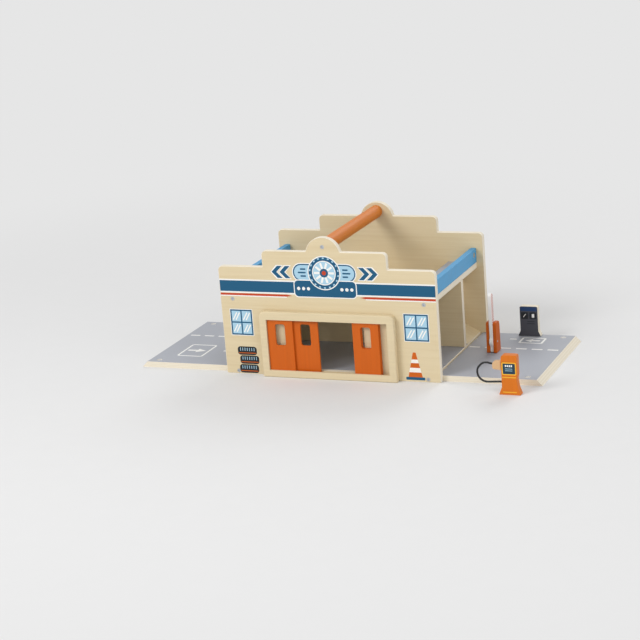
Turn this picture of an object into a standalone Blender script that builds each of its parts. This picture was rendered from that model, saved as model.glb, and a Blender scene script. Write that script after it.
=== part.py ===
"""Folding wooden toy garage: two stepped facades, a floor, a roof deck with a ramp below it, sliding
doors, two hinged road flaps, wash brushes, a barrier, a ticket terminal and a fuel pump.

Sizes are in millimetres. X runs along the facades, Y from the front facade to the back one, Z up.
The origin is the middle of the floor's underside.
"""

import math

import bmesh
import bpy
from mathutils import Matrix, Vector

MM = 0.001

# Boards
PLY = 9.0
GAP = 0.3
FACADE_WIDTH = 350.0
GARAGE_DEPTH = 243.0
FIRST_STEP_HEIGHT = 171.6
SECOND_STEP_HEIGHT = 197.0
SECOND_STEP_WIDTH = 201.0
CROWN_RADIUS = 28.0
CROWN_TOP = 219.5
STEP_CORNER = 7.0
FOOT_CORNER = 2.5
FACADE_OVERHANG = 11.5
DECK_TOP = 124.5
PARAPET_TOP = 147.5
PARTITION_Y = 34.1
EDGE_ROUND = 0.8
BOARD_ROUND = 0.5

# Roof opening and ramp
HOLE_LEFT_INSET = 107.5
HOLE_RIGHT_INSET = 47.5
HOLE_WALL_GAP = 6.0
RAMP_THICKNESS = 6.0
RAMP_LIP = 1.0

# Carrying handle
HANDLE_RADIUS = 10.3
HANDLE_HEIGHT = 204.5
HANDLE_SIDES = 32
HANDLE_CHAMFER = 1.0

# Screws
SCREW_INSET = 8.8
SCREW_SHANK = 1.7
SCREW_HEAD = 3.1
SCREW_HEAD_DEPTH = 2.4
SCREW_LENGTH = 24.0
SCREW_RECESS = 0.25
SCREW_SIDES = 12
SCREW_FIT = 0.2
SLOT_REACH = 2.0
SLOT_WIDTH = 0.9
SLOT_DEPTH = 1.3

# Door frame and its four sliding panels
FRAME_DEPTH = 10.5
FRAME_WIDTH = 218.4
FRAME_HEIGHT = 103.8
FRAME_CORNER = 8.0
FRAME_FOOT_CORNER = 2.0
FRAME_ROUND = 2.2
FRAME_POST = 11.5
DOORWAY_SILL = 11.2
DOORWAY_TOP = 91.2
LIP = 2.6
GROOVE = 4.0
PANEL_THICKNESS = 3.2
PANEL_WIDTH = 41.8
PANEL_FIT = 0.3
PANEL_CORNER = 1.0
PANEL_ROUND = 0.35
TRACK_GAP = 0.5
PANE_WIDTH = 16.0
PANE_BOTTOM = 50.5
PANE_TOP = 84.0
PANE_CORNER = 3.5
PANEL_LAP = 1.8
OUTER_OPENED = 14.2
INNER_OPENED = 13.3
PORTAL_WIDTH = 114.0
PORTAL_SILL = 10.2
PORTAL_TOP = 90.6
PORTAL_CORNER = 1.0

# Road flaps
FLAP_LENGTH = 159.1
FLAP_BEVEL = 9.0
FLAP_SIDE_GAP = 0.5
PIVOT_ROD_RADIUS = 1.5
PIVOT_FIT = 0.3
PIVOT_BITE = 5.0
EYE_Y = 76.0
EYE_THICKNESS = 1.5
EYE_RADIUS = 3.4
EYE_REACH = 16.0
EYE_TANG = 2.8
EYE_OPENING = 155.0
KERF = 2.4

# Magnets
MAGNET_RADIUS = 4.2
MAGNET_DEPTH = 2.6
MAGNET_INSET = 0.1
MAGNET_Y = 101.0
MAGNET_RISE = 2.3

# Wash brushes
BRUSH_INSET = 35.5
BRUSH_RADIUS = 21.0
BRUSH_ROOT = 17.5
BRUSH_LOBES = 13
BRUSH_SIDES = 16
SPINDLE_RADIUS = 3.0
SPINDLE_FIT = 0.35
BRUSH_BORE_FIT = 0.25
BRUSH_END_GAP = 1.5
SPINDLE_BITE = 5.0
BRUSH_PARTITION_GAP = 6.0

# Barrier on the right flap
BARRIER_OUT = 46.5
CHEEK_THICKNESS = 5.0
BARRIER_DEPTH = 22.0
BARRIER_PARTITION_GAP = 2.4
CHEEK_HEIGHT = 48.0
CHEEK_BACK_LEAN = 1.5
CHEEK_FRONT_LEAN = 2.0
ARM_THICKNESS = 5.4
ARM_WIDTH = 10.5
ARM_FOLD_GAP = 0.5
ARM_FOOT = 10.6
ARM_PIVOT_HEIGHT = 27.0
ARM_PIVOT_DEPTH = 5.5
ARM_LOBE = 8.0
ARM_SIDE_GAP = 0.35
ARM_SWEEP_GAP = 0.8
BARRIER_PIN_RADIUS = 1.6
BARRIER_PIN_FIT = 0.25
BARRIER_PIN_STANDS = 0.8

# Ticket terminal on the right flap
TERMINAL_OUT = 79.5
TERMINAL_BACK = 111.0
TERMINAL_THICKNESS = 11.0
TERMINAL_WIDTH = 29.0
TERMINAL_FOOT = 37.0
TERMINAL_HEIGHT = 48.5
TERMINAL_NECK = 8.5

# Fuel pump on the ground
PUMP_OUT = 123.4
PUMP_FRONT = -159.5
PUMP_THICKNESS = 12.0
PUMP_WIDTH = 23.4
PUMP_FOOT = 33.0
PUMP_HEIGHT = 60.0
PUMP_NECK = 12.0
PUMP_DIP = 24.0
PUMP_SHOULDER = 30.0
PUMP_BULGE = 0.6
PUMP_DIP_DEPTH = 0.9
NOZZLE_WIDTH = 13.4
NOZZLE_HEIGHT = 14.0
NOZZLE_DEPTH = 9.5
NOZZLE_TAPER = 1.5
HOSE_ABOVE_NOZZLE = 1.0
NOZZLE_Z = 43.5
HOSE_RADIUS = 1.5
HOSE_PORT_Z = 18.0
HOSE_BITE = 3.0
SMALL_MAGNET_RADIUS = 3.0

# Worked out from the sizes above
FRONT_FACE = -GARAGE_DEPTH / 2
BACK_FACE = GARAGE_DEPTH / 2
FRONT_INNER = FRONT_FACE + PLY
BACK_INNER = BACK_FACE - PLY
BODY_EDGE = FACADE_WIDTH / 2 - FACADE_OVERHANG
DECK_BOTTOM = DECK_TOP - PLY
DECK_MIDDLE = DECK_TOP - PLY / 2
FLOOR_MIDDLE = PLY / 2
CROWN_CENTRE = CROWN_TOP - CROWN_RADIUS
AXIS_X = BODY_EDGE + GAP + PLY / 2
AXIS_Z = PLY / 2
MAGNET_HEIGHT = (DECK_TOP + GAP + PARAPET_TOP) / 2 + MAGNET_RISE
FLAP_MAGNET_X = AXIS_X + MAGNET_HEIGHT - AXIS_Z
SCREW_X = BODY_EDGE - SCREW_INSET
HOLE_LEFT = -BODY_EDGE + HOLE_LEFT_INSET
HOLE_RIGHT = BODY_EDGE - HOLE_RIGHT_INSET
BRUSH_X = -(BODY_EDGE - BRUSH_INSET)
BARRIER_X = AXIS_X + BARRIER_OUT
ARM_SWING = DECK_BOTTOM - AXIS_Z - ARM_FOLD_GAP
ARM_TOP = AXIS_Z + math.sqrt(ARM_SWING**2 - (BARRIER_OUT + ARM_THICKNESS / 2) ** 2)
TERMINAL_X = AXIS_X + TERMINAL_OUT
PUMP_X = AXIS_X + PUMP_OUT
FLAP_HALF = BACK_INNER - FLAP_SIDE_GAP
FRAME_FRONT = FRONT_FACE - FRAME_DEPTH
FRAME_BACK = FRONT_FACE - GAP
DOORWAY_HALF = FRAME_WIDTH / 2 - FRAME_POST
FRONT_TRACK = FRAME_FRONT + LIP + PANEL_FIT + PANEL_THICKNESS / 2
REAR_TRACK = FRONT_TRACK + PANEL_THICKNESS + TRACK_GAP
PANEL_BOTTOM = DOORWAY_SILL - GROOVE + PANEL_FIT
PANEL_TOP = DOORWAY_TOP + GROOVE - PANEL_FIT
PARTITION_FRONT = PARTITION_Y - PLY / 2
HOLE_FRONT = PARTITION_FRONT + PLY + HOLE_WALL_GAP
WASH_MIDDLE = (FRONT_INNER + PARTITION_FRONT) / 2
BRUSH_OFFSET = (PARTITION_FRONT - FRONT_INNER) / 2 - BRUSH_RADIUS - BRUSH_PARTITION_GAP


def material(name, colour, roughness, metallic=0.0):
    made = bpy.data.materials.new(name)
    made.use_nodes = True
    shader = made.node_tree.nodes["Principled BSDF"]
    shader.inputs["Base Color"].default_value = (*colour, 1.0)
    shader.inputs["Roughness"].default_value = roughness
    shader.inputs["Metallic"].default_value = metallic
    made.diffuse_color = (*colour, 1.0)
    return made


def in_metres(point):
    return Vector(point) * MM


def add_object(name, bm, look, at=(0, 0, 0)):
    """A mesh object whose points are given in millimetres from `at`."""
    bmesh.ops.recalc_face_normals(bm, faces=bm.faces)
    bmesh.ops.scale(bm, vec=(MM, MM, MM), verts=bm.verts)
    mesh = bpy.data.meshes.new(name)
    bm.to_mesh(mesh)
    bm.free()
    made = bpy.data.objects.new(name, mesh)
    made.location = in_metres(at)
    bpy.context.scene.collection.objects.link(made)
    if look:
        mesh.materials.append(look)
    return made


def rounded(corners, sides=4):
    """An outline from (u, v, radius) corners, each turned by an arc of its radius."""
    outline = []
    count = len(corners)
    for i, (u, v, radius) in enumerate(corners):
        here = Vector((u, v))
        before = (Vector(corners[i - 1][:2]) - here).normalized()
        after = (Vector(corners[(i + 1) % count][:2]) - here).normalized()
        if radius <= 0:
            outline.append(here)
            continue
        half = before.angle(after) / 2
        reach = radius / math.tan(half)
        centre = here + (before + after).normalized() * radius / math.sin(half)
        start = here + before * reach - centre
        finish = here + after * reach - centre
        turn = start.angle_signed(finish)
        for k in range(sides + 1):
            angle = -turn * k / sides
            spun = Matrix.Rotation(angle, 2) @ start
            outline.append(centre + spun)
    return outline


def rectangle(left, right, bottom, top, radius=0.0, sides=3):
    corners = ((left, bottom), (right, bottom), (right, top), (left, top))
    return rounded([(u, v, radius) for u, v in corners], sides)


def arc(centre, radius, start, finish, sides):
    """Points on an arc, from and to angles in degrees."""
    angles = [math.radians(start + (finish - start) * k / sides) for k in range(sides + 1)]
    return [Vector((centre[0] + radius * math.cos(a), centre[1] + radius * math.sin(a))) for a in angles]


PLANES = {
    "XZ": lambda u, v, w: (u, w, v),
    "XY": lambda u, v, w: (u, v, w),
    "YZ": lambda u, v, w: (w, u, v),
}


def extruded(name, outline, plane, low, high, look, at=(0, 0, 0)):
    """A plate: an outline in one plane, extruded along the third axis from low to high."""
    bm = bmesh.new()
    place = PLANES[plane]
    face = bm.faces.new([bm.verts.new(place(p[0], p[1], low)) for p in outline])
    grown = bmesh.ops.extrude_face_region(bm, geom=[face])
    moved = [v for v in grown["geom"] if isinstance(v, bmesh.types.BMVert)]
    bmesh.ops.translate(bm, verts=moved, vec=place(0, 0, high - low))
    return add_object(name, bm, look, at)


def box(name, low, high, look, at=(0, 0, 0)):
    outline = rectangle(low[0], high[0], low[2], high[2])
    return extruded(name, outline, "XZ", low[1], high[1], look, at)


def turned(name, profile, sides, look, at=(0, 0, 0), axis="Z"):
    """A body turned round its axis, from (radius, height) points that begin and end on it."""
    bm = bmesh.new()
    points = [bm.verts.new((radius, 0, height)) for radius, height in profile]
    edges = [bm.edges.new(pair) for pair in zip(points, points[1:])]
    bmesh.ops.spin(
        bm, geom=points + edges, cent=(0, 0, 0), axis=(0, 0, 1), angle=math.tau, steps=sides, use_merge=True
    )
    bmesh.ops.remove_doubles(bm, verts=bm.verts, dist=0.001)
    turns = {
        "X": Matrix.Rotation(math.pi / 2, 3, "Y"),
        "Y": Matrix.Rotation(-math.pi / 2, 3, "X"),
        "Z": Matrix.Identity(3),
    }
    bmesh.ops.rotate(bm, cent=(0, 0, 0), matrix=turns[axis], verts=bm.verts)
    return add_object(name, bm, look, at)


def rod(name, radius, low, high, sides, look, at=(0, 0, 0), axis="Z", chamfer=0.0):
    profile = [(0, low), (radius - chamfer, low), (radius, low + chamfer)]
    profile += [(radius, high - chamfer), (radius - chamfer, high), (0, high)]
    if chamfer == 0:
        profile = [(0, low), (radius, low), (radius, high), (0, high)]
    return turned(name, profile, sides, look, at, axis)


def cut(target, cutter):
    """Takes the cutter away from the target."""
    cutter.hide_render = True
    cutter.display_type = "WIRE"
    change = target.modifiers.new("Cut " + cutter.name, "BOOLEAN")
    change.object = cutter
    change.operation = "DIFFERENCE"
    change.solver = "EXACT"


def drill(target, *cutters):
    """Takes away many cutters in one step, from one collection that belongs to the target."""
    name = target.name + " holes"
    holes = bpy.data.collections.get(name)
    if not holes:
        holes = bpy.data.collections.new(name)
        change = target.modifiers.new("Holes", "BOOLEAN")
        change.operand_type = "COLLECTION"
        change.collection = holes
        change.operation = "DIFFERENCE"
        change.solver = "EXACT"
    for cutter in cutters:
        cutter.hide_render = True
        cutter.display_type = "WIRE"
        holes.objects.link(cutter)


def soften(target, width=EDGE_ROUND, segments=2):
    change = target.modifiers.new("Soften", "BEVEL")
    change.width = width * MM
    change.segments = segments
    change.limit_method = "ANGLE"
    change.angle_limit = math.radians(50)
    change.use_clamp_overlap = True


def ride_on(parent, *children):
    """Lets children move with their parent, from where they are."""
    for child in children:
        child.parent = parent
        child.location = child.location - parent.location


def screw_profile(spare=0.0):
    """Head face at 0, shank running up the axis. The spare widens it into its own hole."""
    shank = SCREW_SHANK + spare
    head = SCREW_HEAD + spare
    start = -1.0 if spare else 0.0
    return [
        (0, start),
        (head, start),
        (head, 0.3),
        (shank, SCREW_HEAD_DEPTH + spare),
        (shank, SCREW_LENGTH - 3.0),
        (0.5 + spare, SCREW_LENGTH + spare),
        (0, SCREW_LENGTH + spare),
    ]


def facade_outline():
    """The stepped front with its round crown, seen from outside, counter-clockwise from the left foot."""
    half = FACADE_WIDTH / 2
    step = SECOND_STEP_WIDTH / 2
    rise = SECOND_STEP_HEIGHT - CROWN_CENTRE
    base_angle = math.degrees(math.asin(rise / CROWN_RADIUS))
    corners = [
        (half, FIRST_STEP_HEIGHT, STEP_CORNER),
        (step, FIRST_STEP_HEIGHT, 0),
        (step, SECOND_STEP_HEIGHT, STEP_CORNER),
    ]
    left_foot = (-half, 0, FOOT_CORNER)
    right_foot = (half, 0, FOOT_CORNER)
    crown = [(p[0], p[1], 0) for p in arc((0, CROWN_CENTRE), CROWN_RADIUS, base_angle, 180 - base_angle, 20)]
    mirrored = [(-u, v, radius) for u, v, radius in reversed(corners)]
    return rounded([left_foot, right_foot, *corners, *crown, *mirrored])


def screw_places():
    """(name, x, z) of the five screws that each facade takes."""
    return (
        ("handle", 0.0, HANDLE_HEIGHT),
        ("deck_left", -SCREW_X, DECK_MIDDLE),
        ("deck_right", SCREW_X, DECK_MIDDLE),
        ("floor_left", -SCREW_X, FLOOR_MIDDLE),
        ("floor_right", SCREW_X, FLOOR_MIDDLE),
    )


def screw_cutter(name, x, y, z, facing, target, *others):
    """A screw's own hole, in the facade and in what it bites."""
    hole = turned(name, screw_profile(SCREW_FIT), SCREW_SIDES, None, (x, y, z), "Y")
    if facing < 0:
        hole.rotation_euler.z = math.pi
    for body in (target, *others):
        drill(body, hole)


def plus_outline(reach, half):
    """The twelve corners of a plus sign."""
    quarter = [(reach, -half), (reach, half), (half, half)]
    corners = []
    for _ in range(4):
        corners += quarter
        quarter = [(-v, u) for u, v in quarter]
    return corners


def add_screw(name, x, y, z, facing, look):
    screw = turned(name, screw_profile(), SCREW_SIDES, look, (x, y, z), "Y")
    if facing < 0:
        screw.rotation_euler.z = math.pi
    outline = [Vector(p) for p in plus_outline(SLOT_REACH, SLOT_WIDTH / 2)]
    cross = extruded(name + "_slot", outline, "XZ", -SLOT_DEPTH, SLOT_DEPTH, None, (x, y, z))
    cut(screw, cross)
    return screw


def build_shell(looks):
    """Facades, floor, deck, partition, ramp, parapets and handle."""
    inner_length = (FRONT_INNER + GAP, BACK_INNER - GAP)
    outline = facade_outline()
    front = extruded("front_facade", outline, "XZ", FRONT_FACE, FRONT_INNER, looks["birch"])
    back = extruded("back_facade", outline, "XZ", BACK_INNER, BACK_FACE, looks["birch"])
    portal = extruded(
        "portal_cutter",
        rectangle(-PORTAL_WIDTH / 2, PORTAL_WIDTH / 2, PORTAL_SILL, PORTAL_TOP, PORTAL_CORNER, 2),
        "XZ", FRONT_FACE - 5, FRONT_INNER + 5, None,
    )
    soften(front, EDGE_ROUND, 1)
    soften(back, EDGE_ROUND, 1)
    drill(front, portal)

    near, far = inner_length
    floor = box("floor_board", (-BODY_EDGE, near, 0), (BODY_EDGE, far, PLY), looks["road"])
    deck = box("roof_deck", (-BODY_EDGE, near, DECK_BOTTOM), (BODY_EDGE, far, DECK_TOP), looks["road"])
    opening = box(
        "deck_cutter", (HOLE_LEFT, HOLE_FRONT, DECK_BOTTOM - 5), (HOLE_RIGHT, BACK_FACE, DECK_TOP + 5), None
    )
    cut(deck, opening)
    partition = box(
        "partition_wall",
        (-BODY_EDGE, PARTITION_FRONT, PLY + GAP),
        (BODY_EDGE, PARTITION_FRONT + PLY, DECK_BOTTOM - GAP),
        looks["birch"],
    )
    for board in (floor, deck, partition):
        soften(board, BOARD_ROUND, 1)

    foot = PLY + GAP
    low = BODY_EDGE - GAP
    high = HOLE_LEFT + GAP
    slope = (DECK_TOP - foot - RAMP_LIP) / (low - high)
    drop = RAMP_THICKNESS * math.hypot(1, slope)
    side = [
        (low, foot),
        (low, foot + RAMP_LIP),
        (high, DECK_TOP),
        (high, DECK_TOP - drop),
        (low - (drop - RAMP_LIP) / slope, foot),
    ]
    extruded("ramp", side, "XZ", HOLE_FRONT + GAP, BACK_INNER - GAP, looks["birch"])

    for name, side in (("left", -1), ("right", 1)):
        ends = sorted((side * (BODY_EDGE - PLY), side * BODY_EDGE))
        parapet = box(
            "parapet_" + name,
            (ends[0], inner_length[0], DECK_TOP + GAP),
            (ends[1], inner_length[1], PARAPET_TOP),
            looks["sky"],
        )
        soften(parapet)
        for place, y in (("front", -MAGNET_Y), ("back", MAGNET_Y)):
            spot = (side * BODY_EDGE, y, MAGNET_HEIGHT)
            add_magnet(f"parapet_magnet_{name}_{place}", spot, "X", -side, parapet, looks)

    middle = (0, 0, HANDLE_HEIGHT)
    handle = rod(
        "carry_handle", HANDLE_RADIUS, near, far, HANDLE_SIDES, looks["orange"], middle, "Y", HANDLE_CHAMFER
    )
    bitten = {"handle": handle, "deck": deck, "floor": floor}
    for facade, place, y, facing in ((front, "front", FRONT_FACE, 1), (back, "back", BACK_FACE, -1)):
        for name, x, z in screw_places():
            spot = (x, y + facing * SCREW_RECESS, z)
            label = f"screw_{place}_{name}"
            screw_cutter(label + "_hole", *spot, facing, facade, bitten[name.split("_")[0]])
            add_screw(label, *spot, facing, looks["steel"])
    return front, back, floor, deck


def add_magnet(name, at, axis, inward, host, looks, radius=MAGNET_RADIUS):
    """A disc magnet set flush in its host. `inward` is the way from the face into the host along the axis."""
    depth = MAGNET_DEPTH
    span = sorted((inward * MAGNET_INSET, inward * (depth + MAGNET_INSET)))
    magnet = rod(name, radius, *span, 16, looks["magnet"], at, axis, 0.3)
    pocket_span = sorted((-inward * 2.0, inward * (depth + GAP + MAGNET_INSET)))
    pocket = rod(name + "_pocket", radius + GAP, *pocket_span, 16, None, at, axis)
    drill(host, pocket)
    return magnet


def build_doors(looks):
    half = FRAME_WIDTH / 2
    outline = rounded(
        [
            (-half, 0, FRAME_FOOT_CORNER),
            (half, 0, FRAME_FOOT_CORNER),
            (half, FRAME_HEIGHT, FRAME_CORNER),
            (-half, FRAME_HEIGHT, FRAME_CORNER),
        ],
        8,
    )
    frame = extruded("door_frame", outline, "XZ", FRAME_FRONT, FRAME_BACK, looks["birch"])
    track_front = FRAME_FRONT + LIP
    clear_front, clear_back = FRAME_FRONT - 5, FRAME_BACK + 5
    section = [
        (clear_front, DOORWAY_SILL),
        (track_front, DOORWAY_SILL),
        (track_front, DOORWAY_SILL - GROOVE),
        (clear_back, DOORWAY_SILL - GROOVE),
        (clear_back, DOORWAY_TOP + GROOVE),
        (track_front, DOORWAY_TOP + GROOVE),
        (track_front, DOORWAY_TOP),
        (clear_front, DOORWAY_TOP),
    ]
    doorway = extruded("doorway_cutter", section, "YZ", -DOORWAY_HALF, DOORWAY_HALF, None)
    soften(frame, FRAME_ROUND, 3)
    cut(frame, doorway)

    end = DOORWAY_HALF - PANEL_FIT - PANEL_WIDTH / 2
    places = (
        ("door_left_outer", FRONT_TRACK, -end),
        ("door_left_inner", REAR_TRACK, PANEL_WIDTH - PANEL_LAP - end),
        ("door_right_outer", FRONT_TRACK, end - OUTER_OPENED),
        ("door_right_inner", REAR_TRACK, end - INNER_OPENED),
    )
    for name, track, x in places:
        panel = extruded(
            name,
            rectangle(-PANEL_WIDTH / 2, PANEL_WIDTH / 2, PANEL_BOTTOM, PANEL_TOP, PANEL_CORNER, 2),
            "XZ", -PANEL_THICKNESS / 2, PANEL_THICKNESS / 2, looks["orange"], (x, track, 0),
        )
        pane = extruded(
            name + "_pane_cutter",
            rectangle(-PANE_WIDTH / 2, PANE_WIDTH / 2, PANE_BOTTOM, PANE_TOP, PANE_CORNER, 4),
            "XZ", -PANEL_THICKNESS, PANEL_THICKNESS, None, (x, track, 0),
        )
        cut(panel, pane)
        soften(panel, PANEL_ROUND, 1)


def kerf_outline():
    """The saw cut that an eye sits in: open towards the floor, round beyond the rod."""
    inner = -(PLY / 2 + 2)
    high = PLY / 2 + 2
    radius = EYE_RADIUS + 2 * GAP
    half = EYE_TANG / 2 + GAP
    angle = math.degrees(math.acos(half / radius))
    return [
        Vector((inner, -high)),
        Vector((half, -high)),
        *arc((0, 0), radius, -angle, angle, 8),
        Vector((half, high)),
        Vector((inner, high)),
    ]


def build_flap(name, side, floor, facades, looks):
    """A road flap, its pivot rod and the two eye plates that tie the rod to the floor."""
    axis = (side * AXIS_X, 0, AXIS_Z)
    tip = FLAP_LENGTH
    nose = arc((0, 0), PLY / 2, 90, 270, 10)
    outline = [*nose, Vector((tip, -PLY / 2)), Vector((tip - FLAP_BEVEL, PLY / 2))]
    flap = extruded(
        "road_flap_" + name,
        [(side * p[0], p[1]) for p in outline], "XZ", -FLAP_HALF, FLAP_HALF, looks["road"], axis,
    )
    bore = rod(name + "_bore", PIVOT_ROD_RADIUS + PIVOT_FIT, -BACK_FACE, BACK_FACE, 16, None, axis, "Y")
    drill(flap, bore)
    reach = BACK_INNER + PIVOT_BITE
    pivot = rod(f"pivot_rod_{name}", PIVOT_ROD_RADIUS, -reach, reach, 16, looks["steel"], axis, "Y", 0.3)
    socket = rod(
        name + "_socket", PIVOT_ROD_RADIUS + PIVOT_FIT, -reach - GAP, reach + GAP, 16, None, axis, "Y"
    )
    for facade in facades:
        drill(facade, socket)

    for place, y in (("front", -EYE_Y), ("back", EYE_Y)):
        spot = (side * AXIS_X, y, AXIS_Z)
        ring = arc((0, 0), EYE_RADIUS, -EYE_OPENING, EYE_OPENING, 14)
        shape = [*ring, Vector((-EYE_REACH, EYE_TANG / 2)), Vector((-EYE_REACH, -EYE_TANG / 2))]
        half = EYE_THICKNESS / 2
        eye = extruded(
            f"hinge_eye_{name}_{place}",
            [(side * p[0], p[1]) for p in shape], "XZ", -half, half, looks["steel"], spot,
        )
        hole = rod(eye.name + "_hole", PIVOT_ROD_RADIUS + PIVOT_FIT, -3, 3, 16, None, spot, "Y")
        cut(eye, hole)
        kerf = extruded(
            eye.name + "_kerf",
            [(side * p[0], p[1]) for p in kerf_outline()], "XZ", -KERF / 2, KERF / 2, None, spot,
        )
        drill(flap, kerf)
        ends = sorted((-side * (EYE_REACH + GAP), -side * 2.0))
        high = EYE_TANG / 2 + GAP
        slot = box(
            eye.name + "_slot", (ends[0], -half - GAP, -high), (ends[1], half + GAP, high), None, spot
        )
        drill(floor, slot)

    magnets = [
        add_magnet(f"flap_magnet_{name}_{place}", (side * FLAP_MAGNET_X, y, PLY), "Z", -1, flap, looks)
        for place, y in (("front", -MAGNET_Y), ("back", MAGNET_Y))
    ]
    ride_on(flap, *magnets)
    return flap


def brush_profile():
    """Stacked felt discs, bulging round the spindle."""
    low, high = PLY + BRUSH_END_GAP, DECK_BOTTOM - BRUSH_END_GAP
    pitch = (high - low) / BRUSH_LOBES
    profile = [(0, low), (BRUSH_ROOT, low)]
    for k in range(BRUSH_LOBES):
        base = low + k * pitch
        profile.append((BRUSH_RADIUS, base + pitch / 2))
        profile.append((BRUSH_ROOT, base + pitch))
    profile.append((0, high))
    return profile


def build_brushes(floor, deck, looks):
    for name, y in (("front", WASH_MIDDLE - BRUSH_OFFSET), ("back", WASH_MIDDLE + BRUSH_OFFSET)):
        spot = (BRUSH_X, y, 0)
        roller = turned(f"wash_brush_{name}", brush_profile(), BRUSH_SIDES, looks["felt"], spot)
        core = rod(name + "_core", SPINDLE_RADIUS + BRUSH_BORE_FIT, 0, DECK_TOP, 12, None, spot)
        cut(roller, core)
        low, high = PLY - SPINDLE_BITE, DECK_BOTTOM + SPINDLE_BITE
        spindle = rod(f"brush_spindle_{name}", SPINDLE_RADIUS, low, high, 12, looks["birch"], spot, "Z", 0.4)
        socket = rod(name + "_sockets", SPINDLE_RADIUS + SPINDLE_FIT, low - GAP, high + GAP, 12, None, spot)
        drill(floor, socket)
        drill(deck, socket)
        ride_on(roller, spindle)


def build_barrier(flap, looks):
    """Two cheeks joined at the back of the foot, and the arm that turns between them on a pin."""
    half = ARM_THICKNESS / 2 + ARM_SIDE_GAP
    outer = half + CHEEK_THICKNESS
    base = PLY + GAP
    back = PARTITION_FRONT - BARRIER_PARTITION_GAP
    front = back - BARRIER_DEPTH
    pivot_y = front + ARM_PIVOT_DEPTH
    pivot = (BARRIER_X, pivot_y, ARM_PIVOT_HEIGHT)
    cheek = rounded(
        [
            (front - pivot_y, base - ARM_PIVOT_HEIGHT, 1.5),
            (back - pivot_y, base - ARM_PIVOT_HEIGHT, 1.5),
            (back - pivot_y - CHEEK_BACK_LEAN, base + CHEEK_HEIGHT - ARM_PIVOT_HEIGHT, 7.0),
            (front - pivot_y + CHEEK_FRONT_LEAN, base + CHEEK_HEIGHT - ARM_PIVOT_HEIGHT, 4.0),
        ],
        5,
    )
    stand = extruded("barrier_stand", cheek, "YZ", -outer, outer, looks["orange"], pivot)
    soften(stand, 0.6, 2)

    tail = ARM_PIVOT_HEIGHT - ARM_FOOT
    sweep = tail + ARM_SWEEP_GAP
    low_angle = -60.0
    high_angle = 0.0
    beyond = BARRIER_DEPTH + CHEEK_HEIGHT
    swept = arc((0, 0), sweep, low_angle, high_angle, 6)
    slot_outline = [
        Vector((-beyond, -beyond)),
        Vector((swept[0].x, -beyond)),
        *swept,
        Vector((beyond, 0)),
        Vector((beyond, beyond)),
        Vector((-beyond, beyond)),
    ]
    slot = extruded("barrier_slot", slot_outline, "YZ", -half, half, None, pivot)
    hole_radius = BARRIER_PIN_RADIUS + BARRIER_PIN_FIT
    pin_end = outer + BARRIER_PIN_STANDS
    pin_hole = rod("barrier_pin_hole", hole_radius, -outer - 2, outer + 2, 12, None, pivot, "X")
    drill(stand, slot, pin_hole)
    pin = rod("barrier_pin", BARRIER_PIN_RADIUS, -pin_end, pin_end, 12, looks["steel"], pivot, "X", 0.3)

    left, right = -ARM_WIDTH / 2, ARM_WIDTH / 2
    top = ARM_TOP - ARM_PIVOT_HEIGHT
    lean = math.degrees(math.acos(right / ARM_LOBE))
    heel = 0.7 * right
    heel_angle = math.degrees(math.acos(heel / ARM_LOBE))
    outline = [
        Vector((-heel, -tail)),
        Vector((heel, -tail)),
        *arc((0, 0), ARM_LOBE, -heel_angle, lean, 8),
        *arc((0, top - right), right, 0, 180, 10),
        *arc((0, 0), ARM_LOBE, 180 - lean, 180 + heel_angle, 8),
    ]
    arm = extruded("barrier_arm", outline, "YZ", -ARM_THICKNESS / 2, ARM_THICKNESS / 2, looks["white"], pivot)
    soften(arm, 0.5, 1)
    arm_hole = rod("barrier_arm_hole", hole_radius, -9, 9, 12, None, pivot, "X")
    drill(arm, arm_hole)
    ride_on(flap, stand, pin, arm)


def build_terminal(flap, looks):
    low = TERMINAL_BACK - TERMINAL_THICKNESS
    half, foot = TERMINAL_WIDTH / 2, TERMINAL_FOOT / 2
    outline = rounded(
        [
            (-foot, 0, 0.8),
            (foot, 0, 0.8),
            (half, TERMINAL_NECK, 2.0),
            (half, TERMINAL_HEIGHT, 2.5),
            (-half, TERMINAL_HEIGHT, 2.5),
            (-half, TERMINAL_NECK, 2.0),
        ],
        4,
    )
    spot = (TERMINAL_X, 0, PLY + GAP)
    stand = extruded("ticket_terminal", outline, "XZ", low, TERMINAL_BACK, looks["slate"], spot)
    soften(stand, 0.6, 2)
    ride_on(flap, stand)


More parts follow.
